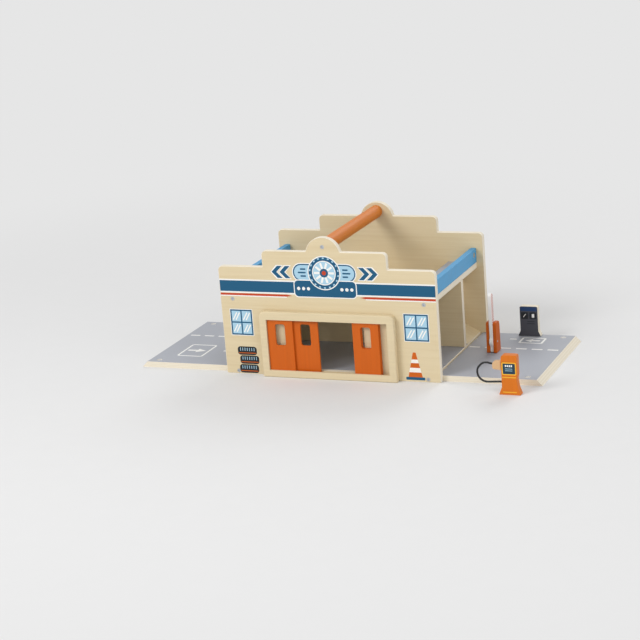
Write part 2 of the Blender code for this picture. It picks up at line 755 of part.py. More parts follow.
def build_pump(looks):
    half, foot = PUMP_WIDTH / 2, PUMP_FOOT / 2
    back = PUMP_FRONT + PUMP_THICKNESS
    middle = (PUMP_FRONT + back) / 2
    outline = rounded(
        [
            (-foot, 0, 0.8),
            (foot, 0, 0.8),
            (half + PUMP_BULGE, PUMP_NECK, 3.0),
            (half - PUMP_DIP_DEPTH, PUMP_DIP, 2.0),
            (half + PUMP_BULGE, PUMP_SHOULDER, 2.0),
            (half + PUMP_BULGE, PUMP_HEIGHT, 2.5),
            (-half, PUMP_HEIGHT, 4.5),
            (-half, PUMP_NECK, 3.0),
        ],
        3,
    )
    pump = extruded("fuel_pump", outline, "XZ", PUMP_FRONT, back, looks["amber"], (PUMP_X, 0, 0))
    soften(pump, 0.8, 2)

    side = PUMP_X - half
    spot = (side, middle, HOSE_PORT_Z)
    port = rod("hose_port", HOSE_RADIUS + GAP, -2, HOSE_BITE + GAP, 16, None, spot, "X")
    drill(pump, port)
    add_magnet("pump_magnet", (side, middle, NOZZLE_Z), "X", 1, pump, looks, SMALL_MAGNET_RADIUS)

    right = side - GAP
    left = right - NOZZLE_WIDTH
    deep = NOZZLE_DEPTH / 2
    grip = rounded(
        [
            (left, NOZZLE_Z - NOZZLE_HEIGHT / 2 + NOZZLE_TAPER, 3.0),
            (right, NOZZLE_Z - NOZZLE_HEIGHT / 2, 1.0),
            (right, NOZZLE_Z + NOZZLE_HEIGHT / 2, 1.0),
            (left, NOZZLE_Z + NOZZLE_HEIGHT / 2 - NOZZLE_TAPER, 5.0),
        ],
        5,
    )
    nozzle = extruded("hose_nozzle", grip, "XZ", middle - deep, middle + deep, looks["birch"])
    soften(nozzle, 1.6, 2)
    add_magnet("nozzle_magnet", (right, middle, NOZZLE_Z), "X", -1, nozzle, looks, SMALL_MAGNET_RADIUS)
    hose_top = NOZZLE_Z + HOSE_ABOVE_NOZZLE
    nose = rod("nozzle_port", HOSE_RADIUS + GAP, -2, HOSE_BITE + GAP, 16, None, (left, middle, hose_top), "X")
    drill(nozzle, nose)

    # The hose leaves the nozzle to the left, loops down and comes back into the pump's side.
    route = [
        (left + HOSE_BITE, hose_top),
        (left - 3.0, hose_top + 0.6),
        (left - 9.0, hose_top + 1.7),
        (left - 15.5, hose_top + 0.4),
        (left - 21.0, hose_top - 4.5),
        (left - 24.0, hose_top - 11.0),
        (left - 23.2, hose_top - 18.0),
        (left - 19.0, hose_top - 24.0),
        (left - 12.5, hose_top - 27.2),
        (left - 5.5, hose_top - 27.4),
        (left + 1.5, hose_top - 26.9),
        (side - 4.5, HOSE_PORT_Z),
        (side + HOSE_BITE, HOSE_PORT_Z),
    ]
    add_tube("fuel_hose", [(x, middle, z) for x, z in route], HOSE_RADIUS, looks["rubber"])


def add_tube(name, route, radius, look):
    curve = bpy.data.curves.new(name, "CURVE")
    curve.dimensions = "3D"
    curve.bevel_depth = radius * MM
    curve.bevel_resolution = 2
    curve.use_fill_caps = True
    line = curve.splines.new("POLY")
    line.points.add(len(route) - 1)
    for point, place in zip(line.points, route):
        point.co = (*in_metres(place), 1.0)
    curve.materials.append(look)
    made = bpy.data.objects.new(name, curve)
    bpy.context.scene.collection.objects.link(made)


def main():
    for item in list(bpy.data.objects):
        bpy.data.objects.remove(item, do_unlink=True)
    looks = {
        "birch": material("birch_plywood", (0.72, 0.56, 0.36), 0.55),
        "road": material("road_grey_paint", (0.36, 0.38, 0.42), 0.5),
        "sky": material("light_blue_paint", (0.09, 0.31, 0.60), 0.45),
        "orange": material("orange_lacquer", (0.63, 0.12, 0.015), 0.4),
        "amber": material("amber_lacquer", (0.74, 0.20, 0.02), 0.4),
        "white": material("white_lacquer", (0.80, 0.80, 0.78), 0.4),
        "slate": material("slate_paint", (0.035, 0.037, 0.045), 0.5),
        "felt": material("white_felt", (0.72, 0.70, 0.66), 0.95),
        "rubber": material("black_rubber", (0.012, 0.012, 0.012), 0.55),
        "steel": material("zinc_steel", (0.62, 0.62, 0.62), 0.35, 1.0),
        "magnet": material("nickel_magnet", (0.80, 0.80, 0.80), 0.25, 1.0),
    }
    front, back, floor, deck = build_shell(looks)
    build_doors(looks)
    build_flap("left", -1, floor, (front, back), looks)
    right_flap = build_flap("right", 1, floor, (front, back), looks)
    build_brushes(floor, deck, looks)
    build_barrier(right_flap, looks)
    build_terminal(right_flap, looks)
    build_pump(looks)


main()
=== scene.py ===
"""Looks of the folding wooden toy garage: plywood, paint, lacquer and felt, the screen prints on the
boards, the wash brushes, the hose, and a plain studio. Pieces are given in millimetres. The scales
in the finishes, the lights and the camera are in metres.
"""

import math

import bpy
from bpy.props import FloatProperty, FloatVectorProperty, IntProperty, PointerProperty
from mathutils import Matrix, Vector


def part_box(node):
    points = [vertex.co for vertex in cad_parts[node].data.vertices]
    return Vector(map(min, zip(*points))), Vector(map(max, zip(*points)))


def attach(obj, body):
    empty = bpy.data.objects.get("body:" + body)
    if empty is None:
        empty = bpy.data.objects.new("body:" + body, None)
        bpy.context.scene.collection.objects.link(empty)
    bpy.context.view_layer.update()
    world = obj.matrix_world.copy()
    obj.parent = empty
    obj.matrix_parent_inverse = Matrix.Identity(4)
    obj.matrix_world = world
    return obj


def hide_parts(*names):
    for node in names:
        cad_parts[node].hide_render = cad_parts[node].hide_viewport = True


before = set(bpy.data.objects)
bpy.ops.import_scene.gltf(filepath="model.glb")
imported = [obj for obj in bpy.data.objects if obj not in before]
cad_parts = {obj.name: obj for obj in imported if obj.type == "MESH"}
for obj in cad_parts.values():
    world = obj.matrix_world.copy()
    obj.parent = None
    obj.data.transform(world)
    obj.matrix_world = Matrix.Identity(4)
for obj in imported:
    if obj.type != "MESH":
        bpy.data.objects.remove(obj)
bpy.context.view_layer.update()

bl_info = {
    "name": "Toy garage looks",
    "version": (1, 0, 0),
    "blender": (4, 5, 0),
    "location": "3D View > Sidebar > Toy garage",
    "description": "Finishes and printed details of a folding wooden toy garage",
    "category": "Object",
}

MM = 0.001


def node_box(name):
    """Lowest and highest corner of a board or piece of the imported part, in millimetres."""
    low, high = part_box(name)
    return Vector(low) / MM, Vector(high) / MM


FACADE_LOW, FACADE_HIGH = node_box("front_facade")
BACK_LOW, BACK_HIGH = node_box("back_facade")
FLAP_LOW, FLAP_HIGH = node_box("road_flap_right")
PARTITION_LOW, PARTITION_HIGH = node_box("partition_wall")
RAMP_LOW, RAMP_HIGH = node_box("ramp")
PUMP_LOW, PUMP_HIGH = node_box("fuel_pump")
NOZZLE_LOW, NOZZLE_HIGH = node_box("hose_nozzle")
TERMINAL_LOW, TERMINAL_HIGH = node_box("ticket_terminal")
ARM_LOW, ARM_HIGH = node_box("barrier_arm")
BOARD = FLAP_HIGH.z
PLIES = 7
HOSE_RADIUS = 1.5


def linear(colour):
    """An sRGB hex value as a linear colour with alpha."""
    parts = [int(colour[i : i + 2], 16) / 255 for i in (1, 3, 5)]
    return (*[p / 12.92 if p <= 0.04045 else ((p + 0.055) / 1.055) ** 2.4 for p in parts], 1.0)


def colour_setting(name, description, value):
    return FloatVectorProperty(
        name=name, description=description, default=linear(value), size=4, min=0, max=1, subtype="COLOR"
    )


def length_setting(name, description, millimetres):
    default = millimetres * MM
    return FloatProperty(
        name=name, description=description, default=default, min=0, unit="LENGTH", subtype="DISTANCE"
    )


class GarageColours(bpy.types.PropertyGroup):
    """Colours of the boards, the paints and the inks."""

    birch: colour_setting("Birch", "Lacquered face veneer", "#DECDA9")
    birch_grain: colour_setting("Birch grain", "Darker streaks of the face veneer", "#D2BD93")
    # The two ply colours are the real pale birch of a bare edge, made lighter still as a painted highlight
    # on the rounded and bevelled edges.
    ply_light_with_highlight: colour_setting("Light ply", "Long-grain plies of a bare edge", "#EEE5D2")
    ply_dark_with_highlight: colour_setting("Dark ply", "End-grain plies of a bare edge", "#E3D7BE")
    glue: colour_setting("Glue line", "Between the plies", "#D3C19D")
    road: colour_setting("Road paint", "Grey of the drive-on faces", "#A9ACB4")
    sky: colour_setting("Side wall paint", "Light blue of the low side walls", "#4E9FD0")
    orange: colour_setting("Orange lacquer", "Doors and barrier stand", "#CD600C")
    dowel: colour_setting("Dowel lacquer", "Carrying handle", "#D6781A")
    amber: colour_setting("Amber lacquer", "Fuel pump", "#D87416")
    white: colour_setting("White lacquer", "Barrier arm", "#F4F2EF")
    slate: colour_setting("Slate paint", "Front and back of the terminal", "#43454D")
    beech: colour_setting("Turned beech", "Hose nozzle and brush spindles", "#D9B184")
    felt: colour_setting("Felt", "Wash brushes", "#E9E5DC")
    rubber: colour_setting("Rubber", "Hose", "#161616")
    blue_ink: colour_setting("Blue ink", "Band, badge and window frames", "#0F567A")
    pale_blue_ink: colour_setting("Pale blue ink", "Window panes and badge ground", "#A9CFE3")
    red_ink: colour_setting("Red ink", "Thin stripe and small accents", "#C2421F")
    white_ink: colour_setting("White ink", "Outlines, highlights and road marks", "#F4F3EF")
    navy_ink: colour_setting("Navy ink", "Head band of the terminal", "#223F69")
    teal_ink: colour_setting("Teal ink", "Screen of the fuel pump", "#1C3B4C")
    black_ink: colour_setting("Black ink", "Tyres and screens", "#1D2126")
    yellow_ink: colour_setting("Yellow ink", "Borders on the fuel pump", "#F2B632")
    zinc: colour_setting("Zinc plating", "Screws, rods, eyes and pin", "#C9CCD0")
    nickel: colour_setting("Nickel plating", "Magnets", "#D8D6CF")
    floor: colour_setting("Studio floor", "Plain pale floor", "#E6E6E6")


class GarageSizes(bpy.types.PropertyGroup):
    """Sizes of the prints, the brushes and the grain."""

    ink: length_setting("Ink step", "How far each further ink stands proud of the one below", 0.03)
    band_low: length_setting("Band foot", "Height of the lower edge of the blue band", 132.0)
    band_high: length_setting("Band top", "Height of the upper edge of the blue band", 149.2)
    band_rim: length_setting("Band rim", "White line above and below the band", 2.2)
    stripe_low: length_setting("Stripe foot", "Height of the lower edge of the red stripe", 125.9)
    stripe_high: length_setting("Stripe top", "Height of the upper edge of the red stripe", 129.2)
    badge_height: length_setting("Badge height", "Height of the middle of the round badge", 164.5)
    badge_radius: length_setting("Badge radius", "Outside of the white ring of the badge", 26.5)
    dash: length_setting("Dash", "Length of one dash of the road line", 17.0)
    dash_pitch: length_setting("Dash pitch", "From one dash to the next", 25.0)
    mark: length_setting("Mark width", "Width of the painted road lines", 4.4)
    grain: length_setting("Grain", "Spacing of the streaks in the face veneer", 3.0)
    discs: IntProperty(name="Felt discs", description="Discs on each wash brush", default=13, min=4, max=30)


def colours():
    return bpy.context.scene.garage_colours


def sizes():
    return bpy.context.scene.garage_sizes


def in_mm(length):
    return length / MM


def add(tree, kind, values=None, **settings):
    """Adds a shader node, sets its options, and fills its inputs with values or with links."""
    made = tree.nodes.new("ShaderNode" + kind)
    for name, value in settings.items():
        setattr(made, name, value)
    for name, value in (values or {}).items():
        if isinstance(value, bpy.types.NodeSocket):
            tree.links.new(value, made.inputs[name])
        else:
            made.inputs[name].default_value = value
    return made


def new_finish(name, roughness, metallic=0.0):
    """A material with its tree and its Principled shader."""
    made = bpy.data.materials.new(name)
    made.use_nodes = True
    shader = made.node_tree.nodes["Principled BSDF"]
    shader.inputs["Roughness"].default_value = roughness
    shader.inputs["Metallic"].default_value = metallic
    return made, made.node_tree, shader


def link(tree, source, shader, name):
    tree.links.new(source, shader.inputs[name])


def turned_coordinates(tree, turn):
    """Object coordinates and normal, turned so that Z runs through the board's thickness."""
    source = add(tree, "TexCoord")
    turned = []
    for name in ("Object", "Normal"):
        values = {"Vector": source.outputs[name], "Rotation": turn}
        turned.append(add(tree, "Mapping", values, vector_type="VECTOR").outputs[0])
    return turned


def veneer(tree, place):
    """Sliced birch veneer, sanded and lacquered: soft streaks along the grain, slow changes of tone."""
    grain, streak_length = sizes().grain, 0.09
    fine_scale = (1 / streak_length, 1 / grain, 1 / grain)
    # Patches of tone are about 330 mm long and 45 mm across.
    slow_scale = (3.0, 22.0, 22.0)
    streaks = add(tree, "VectorMath", {0: place, 1: fine_scale}, operation="MULTIPLY")
    fine = add(tree, "TexNoise", {"Vector": streaks.outputs[0], "Scale": 1.0, "Detail": 4.0})
    slow = add(tree, "VectorMath", {0: place, 1: slow_scale}, operation="MULTIPLY")
    broad = add(tree, "TexNoise", {"Vector": slow.outputs[0], "Scale": 1.0, "Detail": 2.0})
    both = add(tree, "Math", {0: fine.outputs["Fac"], 1: broad.outputs["Fac"]}, operation="MULTIPLY")
    spread = {"From Min": 0.15, "From Max": 0.42, "To Max": 0.6}
    share = add(tree, "MapRange", {"Value": both.outputs[0], **spread})
    look = colours()
    tone = add(tree, "Mix", {0: share.outputs[0], 6: look.birch, 7: look.birch_grain}, data_type="RGBA")
    return tone.outputs[2], fine.outputs["Fac"]


def bare_edge_with_highlight(tree, place, middle):
    """A sawn plywood edge: light and dark plies by turns, with thin glue lines between them. All plies are
    paler than the bare wood, as a painted highlight on the edges.
    """
    ply = BOARD * MM / PLIES
    glue_share, glue_strength = 0.1, 0.4
    # Ten plies more keep the count above zero in the lower half of the board.
    above_zero = 10
    split = add(tree, "SeparateXYZ", {0: place})
    depth = add(tree, "Math", {0: split.outputs[2], 1: -middle * MM}, operation="ADD")
    count = {0: depth.outputs[0], 1: 1 / ply, 2: PLIES / 2 + above_zero}
    layer = add(tree, "Math", count, operation="MULTIPLY_ADD")
    whole = add(tree, "Math", {0: layer.outputs[0]}, operation="FLOOR")
    odd = add(tree, "Math", {0: whole.outputs[0], 1: 2.0}, operation="MODULO")
    part = add(tree, "Math", {0: layer.outputs[0]}, operation="FRACT")
    speckle = add(tree, "TexNoise", {"Vector": place, "Scale": 900.0, "Detail": 2.0})
    dark = add(tree, "Math", {0: odd.outputs[0], 1: speckle.outputs["Fac"]}, operation="MULTIPLY")
    look = colours()
    # Real ply stripes, in colours lightened as a painted highlight on the edges.
    tone = add(tree, "Mix", {0: dark.outputs[0], 6: look.ply_light_with_highlight, 7: look.ply_dark_with_highlight}, data_type="RGBA")
    line = add(tree, "Math", {0: part.outputs[0], 1: glue_share}, operation="LESS_THAN")
    faint = add(tree, "Math", {0: line.outputs[0], 1: glue_strength}, operation="MULTIPLY")
    glued = add(tree, "Mix", {0: faint.outputs[0], 6: tone.outputs[2], 7: look.glue}, data_type="RGBA")
    return glued.outputs[2]


def facing(tree, normal, low, both_sides=True):
    """1 on the board's broad faces and 0 on its edges, or 1 on the upper face alone."""
    split = add(tree, "SeparateXYZ", {0: normal})
    height = split.outputs[2]
    if both_sides:
        height = add(tree, "Math", {0: height}, operation="ABSOLUTE").outputs[0]
    return add(tree, "Math", {0: height, 1: low}, operation="GREATER_THAN").outputs[0]


def uneven(tree, colour, value, least, most):
    """The colour, a little darker or lighter as the value goes."""
    level = add(tree, "MapRange", {"Value": value, "To Min": least, "To Max": most})
    mixed = {0: 1.0, 6: colour, 7: level.outputs[0]}
    tone = add(tree, "Mix", mixed, data_type="RGBA", blend_type="MULTIPLY")
    return tone.outputs[2]


def dimples(tree, shader, height, distance, strength):
    bump = add(tree, "Bump", {"Height": height, "Strength": strength, "Distance": distance})
    link(tree, bump.outputs[0], shader, "Normal")


def birch_board(name, turn, middle):
    """Birch plywood, clear matt lacquer: quiet veneer on the faces, striped plies with a painted highlight
    on the edges.
    """
    made, tree, shader = new_finish(name, 0.52)
    place, normal = turned_coordinates(tree, turn)
    face, fine = veneer(tree, place)
    mask = facing(tree, normal, 0.8)
    tone = add(tree, "Mix", {0: mask, 6: bare_edge_with_highlight(tree, place, middle), 7: face}, data_type="RGBA")
    link(tree, tone.outputs[2], shader, "Base Color")
    sheen = add(tree, "MapRange", {"Value": fine, "To Min": 0.44, "To Max": 0.6})
    link(tree, sheen.outputs[0], shader, "Roughness")
    dimples(tree, shader, fine, 0.0001, 0.25)
    return made


def painted_board(name, paint, turn, middle, both_sides):
    """Roller-painted plywood: a faint orange-peel in the paint, and bare plies with a painted highlight
    wherever the saw went.
    """
    made, tree, shader = new_finish(name, 0.5)
    place, normal = turned_coordinates(tree, turn)
    face, fine = veneer(tree, place)
    peel = add(tree, "TexNoise", {"Vector": place, "Scale": 420.0, "Detail": 3.0})
    cloud = add(tree, "TexNoise", {"Vector": place, "Scale": 14.0, "Detail": 2.0})
    coat = uneven(tree, paint, cloud.outputs["Fac"], 0.94, 1.05)
    broad = facing(tree, normal, 0.8)
    wood = add(tree, "Mix", {0: broad, 6: bare_edge_with_highlight(tree, place, middle), 7: face}, data_type="RGBA")
    mask = facing(tree, normal, 0.92, both_sides)
    tone = add(tree, "Mix", {0: mask, 6: wood.outputs[2], 7: coat}, data_type="RGBA")
    link(tree, tone.outputs[2], shader, "Base Color")
    gloss = add(tree, "MapRange", {"Value": peel.outputs["Fac"], "To Min": 0.42, "To Max": 0.56})
    link(tree, gloss.outputs[0], shader, "Roughness")
    dimples(tree, shader, peel.outputs["Fac"], 0.00008, 0.35)
    return made


def lacquered_wood(name, colour, stretch, roughness=0.44):
    """Coloured satin lacquer over close-grained wood: the grain is only a faint streak in tone and sheen."""
    made, tree, shader = new_finish(name, roughness)
    shader.inputs["Specular IOR Level"].default_value = 0.3
    source = add(tree, "TexCoord")
    drawn = add(tree, "VectorMath", {0: source.outputs["Object"], 1: stretch}, operation="MULTIPLY")
    grain = add(tree, "TexNoise", {"Vector": drawn.outputs[0], "Scale": 1.0, "Detail": 4.0})
    link(tree, uneven(tree, colour, grain.outputs["Fac"], 0.9, 1.08), shader, "Base Color")
    gloss = {"To Min": roughness - 0.06, "To Max": roughness + 0.08}
    sheen = add(tree, "MapRange", {"Value": grain.outputs["Fac"], **gloss})
    link(tree, sheen.outputs[0], shader, "Roughness")
    dimples(tree, shader, grain.outputs["Fac"], 0.00006, 0.3)
    return made


def striped_lacquer(name, colour, stripe):
    """White lacquered wood with a fine slanted red print on both broad sides of the barrier arm."""
    made, tree, shader = new_finish(name, 0.4)
    pitch, inked_share, lean = 0.0042, 0.46, 0.8
    print_foot = ARM_LOW.z + 42.0
    source = add(tree, "TexCoord")
    split = add(tree, "SeparateXYZ", {0: source.outputs["Object"]})
    slant = add(tree, "Math", {0: split.outputs[1], 1: lean, 2: split.outputs[2]}, operation="MULTIPLY_ADD")
    turns = add(tree, "Math", {0: slant.outputs[0], 1: 1 / pitch}, operation="MULTIPLY")
    part = add(tree, "Math", {0: turns.outputs[0]}, operation="FRACT")
    line = add(tree, "Math", {0: part.outputs[0], 1: inked_share}, operation="LESS_THAN")
    across = add(tree, "SeparateXYZ", {0: source.outputs["Normal"]})
    side = add(tree, "Math", {0: across.outputs[0]}, operation="ABSOLUTE")
    broad = add(tree, "Math", {0: side.outputs[0], 1: 0.9}, operation="GREATER_THAN")
    high = add(tree, "Math", {0: split.outputs[2], 1: print_foot * MM}, operation="GREATER_THAN")
    inked = add(tree, "Math", {0: line.outputs[0], 1: broad.outputs[0]}, operation="MULTIPLY")
    mask = add(tree, "Math", {0: inked.outputs[0], 1: high.outputs[0]}, operation="MULTIPLY")
    tone = add(tree, "Mix", {0: mask.outputs[0], 6: colour, 7: stripe}, data_type="RGBA")
    link(tree, tone.outputs[2], shader, "Base Color")
    grain = add(tree, "TexNoise", {"Vector": source.outputs["Object"], "Scale": 350.0, "Detail": 3.0})
    dimples(tree, shader, grain.outputs["Fac"], 0.00005, 0.3)
    return made


def screen_ink(name, colour):
    """Screen-printed ink: an even satin film whose tone wavers a little with the mesh of the screen."""
    made, tree, shader = new_finish(name, 0.5)
    shader.inputs["Specular IOR Level"].default_value = 0.35
    source = add(tree, "TexCoord")
    mesh = add(tree, "TexNoise", {"Vector": source.outputs["Object"], "Scale": 700.0, "Detail": 2.0})
    link(tree, uneven(tree, colour, mesh.outputs["Fac"], 0.93, 1.06), shader, "Base Color")
    dimples(tree, shader, mesh.outputs["Fac"], 0.00003, 0.25)
    return made


def pressed_felt(name, colour):
    """Pressed wool felt: matt, with short matted fibres, drawn coarser than real ones to show."""
    made, tree, shader = new_finish(name, 0.95)
    shader.inputs["Sheen Weight"].default_value = 0.35
    shader.inputs["Sheen Roughness"].default_value = 0.6
    source = add(tree, "TexCoord")
    fibre = add(tree, "TexNoise", {"Vector": source.outputs["Object"], "Scale": 1400.0, "Detail": 6.0})
    tuft = add(tree, "TexNoise", {"Vector": source.outputs["Object"], "Scale": 260.0, "Detail": 3.0})
    link(tree, uneven(tree, colour, fibre.outputs["Fac"], 0.78, 1.08), shader, "Base Color")
    height = add(tree, "Math", {0: fibre.outputs["Fac"], 1: tuft.outputs["Fac"]}, operation="ADD")
    dimples(tree, shader, height.outputs[0], 0.0006, 0.8)
    return made


def moulded_rubber(name, colour):
    """Extruded black rubber: dull, slightly dusty, without a seam."""
    made, tree, shader = new_finish(name, 0.55)
    shader.inputs["Base Color"].default_value = colour
    source = add(tree, "TexCoord")
    dust = add(tree, "TexNoise", {"Vector": source.outputs["Object"], "Scale": 500.0, "Detail": 4.0})
    sheen = add(tree, "MapRange", {"Value": dust.outputs["Fac"], "To Min": 0.42, "To Max": 0.68})
    link(tree, sheen.outputs[0], shader, "Roughness")
    dimples(tree, shader, dust.outputs["Fac"], 0.00005, 0.4)
    return made


def plated_steel(name, colour, low, high):
    """Plated steel: a bright metal whose plating clouds a little in patches."""
    made, tree, shader = new_finish(name, low, 1.0)
    shader.inputs["Base Color"].default_value = colour
    source = add(tree, "TexCoord")
    cloud = add(tree, "TexNoise", {"Vector": source.outputs["Object"], "Scale": 300.0, "Detail": 5.0})
    sheen = add(tree, "MapRange", {"Value": cloud.outputs["Fac"], "To Min": low, "To Max": high})
    link(tree, sheen.outputs[0], shader, "Roughness")
    dimples(tree, shader, cloud.outputs["Fac"], 0.00003, 0.3)
    return made


def finish_of(name):
    """The finish of that name, which an earlier operator has made."""
    return bpy.data.materials[name]


def dress(material, *nodes):
    """Gives CAD nodes their finish."""
    for name in nodes:
        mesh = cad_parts[name].data
        mesh.materials.clear()
        mesh.materials.append(material)


def nodes_like(*starts):
    return [name for name in sorted(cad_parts) if name.startswith(starts)]


FLAT = (0.0, 0.0, 0.0)
UPRIGHT = (math.pi / 2, 0.0, 0.0)


class GARAGE_OT_boards(bpy.types.Operator):
    """Plywood boards: facades, partition and ramp"""

    bl_idname = "garage.boards"
    bl_label = "Plywood boards"

    def execute(self, context):
        facade = birch_board("birch_plywood_facade", UPRIGHT, (BACK_LOW.y + BACK_HIGH.y) / 2)
        dress(facade, "front_facade", "back_facade")
        middle = (PARTITION_LOW.y + PARTITION_HIGH.y) / 2
        dress(birch_board("birch_plywood_partition", UPRIGHT, middle), "partition_wall")
        slope = math.atan2(RAMP_HIGH.z - RAMP_LOW.z, RAMP_HIGH.x - RAMP_LOW.x)
        dress(birch_board("birch_plywood_ramp", (0.0, -slope, 0.0), 0.0), "ramp")
        return {"FINISHED"}


class GARAGE_OT_solid_wood(bpy.types.Operator):
    """Solid beech pieces: door frame, brush spindles and hose nozzle"""

    bl_idname = "garage.solid_wood"
    bl_label = "Solid wood"

    def execute(self, context):
        look = colours()
        along = lacquered_wood("clear_lacquered_beech", look.birch, (12.0, 320.0, 320.0), 0.48)
        dress(along, "door_frame")
        turned = lacquered_wood("turned_beech", look.beech, (400.0, 400.0, 25.0), 0.5)
        dress(turned, "brush_spindle_front", "brush_spindle_back", "hose_nozzle")
        return {"FINISHED"}


class GARAGE_OT_painted(bpy.types.Operator):
    """Painted boards: the grey road faces, the blue side walls and the slate terminal"""

    bl_idname = "garage.painted"
    bl_label = "Painted boards"

    def execute(self, context):
        look = colours()
        low = painted_board("road_grey_paint_low", look.road, FLAT, BOARD / 2, False)
        dress(low, "floor_board", "road_flap_left", "road_flap_right")
        deck_low, deck_high = node_box("roof_deck")
        deck = painted_board("road_grey_paint_deck", look.road, FLAT, (deck_low.z + deck_high.z) / 2, False)
        dress(deck, "roof_deck")
        wall = lacquered_wood("light_blue_paint", look.sky, (90.0, 90.0, 90.0), 0.42)
        dress(wall, "parapet_left", "parapet_right")
        middle = (TERMINAL_LOW.y + TERMINAL_HIGH.y) / 2
        terminal = painted_board("slate_paint", look.slate, UPRIGHT, middle, True)
        dress(terminal, "ticket_terminal")
        return {"FINISHED"}


class GARAGE_OT_lacquered(bpy.types.Operator):
    """Lacquered pieces: doors, handle, barrier and fuel pump"""

    bl_idname = "garage.lacquered"
    bl_label = "Lacquered pieces"

    def execute(self, context):
        look = colours()
        doors = lacquered_wood("orange_lacquer_doors", look.orange, (300.0, 300.0, 14.0))
        dress(doors, *nodes_like("door_left", "door_right"), "barrier_stand")
        dress(lacquered_wood("orange_lacquer_dowel", look.dowel, (300.0, 10.0, 300.0)), "carry_handle")
        dress(lacquered_wood("amber_lacquer", look.amber, (260.0, 260.0, 20.0)), "fuel_pump")
        dress(striped_lacquer("white_lacquer", look.white, look.red_ink), "barrier_arm")
        return {"FINISHED"}


class GARAGE_OT_hardware(bpy.types.Operator):
    """Screws, pivot rods, hinge eyes, barrier pin and magnets"""

    bl_idname = "garage.hardware"
    bl_label = "Hardware"

    def execute(self, context):
        look = colours()
        zinc = plated_steel("zinc_plated_steel", look.zinc, 0.28, 0.46)
        dress(zinc, *nodes_like("screw_", "pivot_rod_", "hinge_eye_"), "barrier_pin")
        nickel = plated_steel("nickel_plated_magnet", look.nickel, 0.16, 0.3)
        dress(nickel, *nodes_like("parapet_magnet_", "flap_magnet_"), "pump_magnet", "nozzle_magnet")
        return {"FINISHED"}


class GARAGE_OT_inks(bpy.types.Operator):
    """The screen inks that the prints are made with"""

    bl_idname = "garage.inks"
    bl_label = "Inks"

    def execute(self, context):
        look = colours()
        for name in ("blue", "pale_blue", "navy", "teal", "red", "white", "black", "yellow", "orange"):
            colour = look.orange if name == "orange" else getattr(look, name + "_ink")
            screen_ink(name + "_ink", colour)
        return {"FINISHED"}


def clear_selection():
    bpy.ops.object.select_all(action="DESELECT")


def only(target):
    clear_selection()
    target.select_set(True)
    bpy.context.view_layer.objects.active = target


def edit_all(target):
    """Into edit mode with everything of the target selected."""
    only(target)
    bpy.ops.object.mode_set(mode="EDIT")
    bpy.ops.mesh.select_all(action="SELECT")


def leave_edit():
    bpy.ops.object.mode_set(mode="OBJECT")


def settle():
    """Takes the active object's place, turn and scale into its mesh."""
    bpy.ops.object.transform_apply(location=True, rotation=True, scale=True)


def bar(left, right, low, high, turn=0.0, corner=0.0, line=0.0):
    """A flat bar, turned by degrees, with round corners, or only its outline of that width."""
    clear_selection()
    bpy.ops.mesh.primitive_plane_add(size=1)
    made = bpy.context.object
    made.scale = ((right - left) * MM, (high - low) * MM, 1)
    settle()
    if corner or line:
        edit_all(made)
        if corner:
            bpy.ops.mesh.bevel(offset=corner * MM, offset_type="OFFSET", segments=5, affect="VERTICES")
            bpy.ops.mesh.select_all(action="SELECT")
        if line:
            bpy.ops.mesh.inset(thickness=line * MM, use_even_offset=True)
            bpy.ops.mesh.delete(type="FACE")
        leave_edit()
    made.rotation_euler.z = math.radians(turn)
    made.location = ((left + right) / 2 * MM, (low + high) / 2 * MM, 0)
    return made


def patch(x, y, width, height, **more):
    """A flat bar round its middle."""
    return bar(x - width / 2, x + width / 2, y - height / 2, y + height / 2, **more)


def disc(x, y, radius, sides=64, turn=0.0):
    """A flat round, or with few sides a regular shape."""
    clear_selection()
    bpy.ops.mesh.primitive_circle_add(
        vertices=sides, radius=radius * MM, fill_type="NGON",
        location=(x * MM, y * MM, 0), rotation=(0, 0, math.radians(turn)),
    )
    return bpy.context.object


def shape(*corners):
    """A flat shape with these corners: a round of as many sides, each corner moved to its place."""
    made = disc(0, 0, 1, len(corners))
    for number, corner in enumerate(corners):
        edit_all(made)
        bpy.ops.mesh.select_all(action="DESELECT")
        leave_edit()
        vertex = made.data.vertices[number]
        vertex.select = True
        step = Vector((*corner, 0)) * MM - vertex.co
        bpy.ops.object.mode_set(mode="EDIT")
        bpy.ops.transform.translate(value=step)
        leave_edit()
    return made


def printed(name, ink, layer, shapes, face, body="garage"):
    """Joins flat shapes into one print, gives it the height of its layer, and lays it on a face.

    The face is "front" or "back" with its Y, or "top" with its Z. Shapes are drawn as seen from outside.
    """
    first = shapes[0]
    clear_selection()
    for item in shapes:
        item.select_set(True)
    bpy.context.view_layer.objects.active = first
    if len(shapes) > 1:
        bpy.ops.object.join()
    made = bpy.context.object
    only(made)
    settle()
    edit_all(made)
    height = layer * sizes().ink
    bpy.ops.mesh.extrude_region_move(TRANSFORM_OT_translate={"value": (0, 0, height)})
    bpy.ops.mesh.select_all(action="SELECT")
    bpy.ops.mesh.remove_doubles(threshold=0.000001)
    bpy.ops.mesh.normals_make_consistent(inside=False)
    leave_edit()
    side, at = face
    turns = {"front": UPRIGHT, "back": (math.pi / 2, 0, math.pi), "top": FLAT}
    made.rotation_euler = turns[side]
    made.location = (0, 0, at * MM) if side == "top" else (0, at * MM, 0)
    settle()
    made.name = name
    made.data.name = name
    made.data.materials.clear()
    made.data.materials.append(finish_of(ink + "_ink"))
    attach(made, body)
    return made


FRONT = ("front", FACADE_LOW.y)
BACK = ("back", BACK_HIGH.y)


